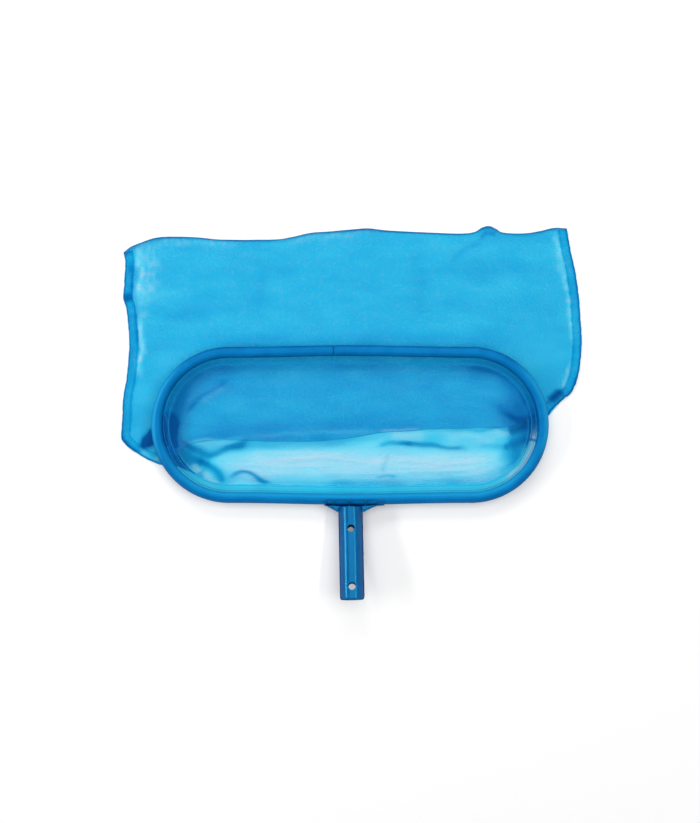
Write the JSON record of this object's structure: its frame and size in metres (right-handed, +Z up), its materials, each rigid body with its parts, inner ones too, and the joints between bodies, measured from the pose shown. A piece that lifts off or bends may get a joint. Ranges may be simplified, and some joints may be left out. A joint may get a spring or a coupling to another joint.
{
  "type": "leaf skimmer net",
  "caption": "Pool leaf skimmer: a deep fine-mesh bag held open by a stadium-shaped hoop of round tube, with a hollow handle socket that plugs into a pole",
  "frame": {"origin": "middle of the net's footprint, on the floor that it lies on", "axes": "+X to the right seen from above with the handle towards the viewer, +Y from the handle to the bag's closed end, +Z up out of the mouth"},
  "size_m": [0.5418, 0.437, 0.0469],
  "materials": {
    "tube_plastic": "glossy blue",
    "socket_plastic": "glossy blue, moulded",
    "joiner_plastic": "plain",
    "bead_cord": "braided",
    "hem_tape": "woven tape, stitched",
    "seam_tape": "folded mesh, stitched",
    "net_mesh": "fine knitted mesh",
    "screw_steel": "plain"
  },
  "bodies": {
    "root": {"hoop_rim": "tube_plastic", "rim_joiner": "joiner_plastic", "hem_cord": "bead_cord", "mouth_hem": "hem_tape", "net_back_layer": "net_mesh", "net_front_layer": "net_mesh", "side_seam_left": "seam_tape", "side_seam_right": "seam_tape", "handle_socket": "socket_plastic", "saddle_screw_left": "screw_steel", "saddle_screw_right": "screw_steel"}
  },
  "joints": []
}
